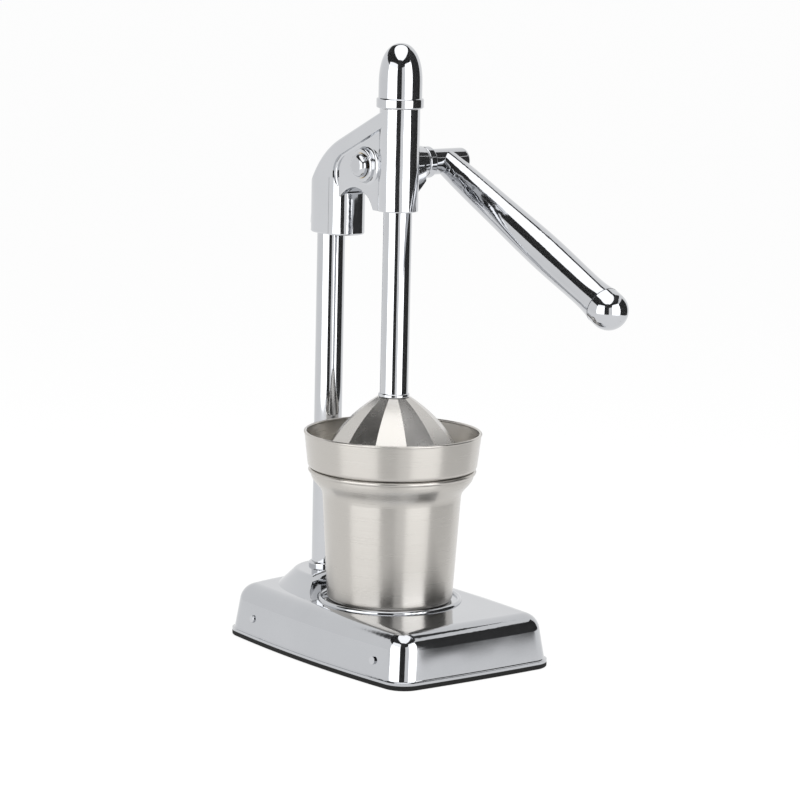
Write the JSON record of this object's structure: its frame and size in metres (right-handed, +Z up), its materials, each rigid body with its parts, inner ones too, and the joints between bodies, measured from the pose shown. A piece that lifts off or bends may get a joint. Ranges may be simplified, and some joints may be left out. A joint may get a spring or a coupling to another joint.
{
  "type": "lever juice press",
  "caption": "Upright hand press for citrus: a side lever turns a pinion that drives a rack plunger and faceted cone down into a strainer bowl on a cup, on a broad base with a rear column.",
  "frame": {"origin": "on the table, under the axis of the plunger and the cup", "axes": "+Z up along the plunger, +Y to the rear where the column stands, +X to the lever's side"},
  "size_m": [0.1264, 0.2435, 0.365],
  "materials": {
    "chrome": "polished plating",
    "stainless": "satin",
    "steel": "machined",
    "bearing_brass": "machined",
    "sole_rubber": "matte"
  },
  "bodies": {
    "stand": {"base_shell": "chrome", "rubber_sole": "sole_rubber", "base_plate": "steel", "base_rivets": "chrome", "column": "chrome", "column_collar": "chrome", "column_washer": "steel", "column_nut": "steel", "head_casting": "chrome", "socket_screws": "steel", "rod_bushes": "bearing_brass", "near_shaft_bush": "bearing_brass", "far_shaft_bush": "bearing_brass"},
    "lever": {"pinion_gear": "steel", "pinion_key": "steel", "pinion_shaft": "steel", "shaft_washer": "chrome", "shaft_end_screw": "chrome", "thrust_collar": "chrome", "lever_arm": "chrome", "lever_end_cap": "chrome", "hub_screw": "steel"},
    "plunger": {"plunger_rod": "chrome", "rod_collar": "chrome", "top_cap": "chrome", "press_cone": "stainless", "cone_washer": "steel", "cone_bolt": "steel"},
    "cup": {"cup": "stainless"},
    "strainer": {"strainer_bowl": "stainless", "strainer_screen": "stainless"}
  },
  "joints": [
    {"name": "lever_swing", "type": "hinge", "parent": "stand", "child": "lever", "pos_m": [0, 0.0186, 0.292], "axis": [-1, 0, 0], "range_deg": [0, 190]},
    {"name": "plunger_slide", "type": "slide", "parent": "stand", "child": "plunger", "axis": [0, 0, 1], "range_m": [0, 0.04]},
    {"name": "cup_turn", "type": "hinge", "parent": "stand", "child": "cup", "pos_m": [0, 0, 0.032], "axis": [0, 0, 1], "continuous": true},
    {"name": "strainer_turn", "type": "hinge", "parent": "cup", "child": "strainer", "pos_m": [0, 0, 0.112], "axis": [0, 0, 1], "continuous": true}
  ],
  "couplings": [
    {"joint": "plunger_slide", "follows": "lever_swing", "m_per_rad": 0.012}
  ]
}
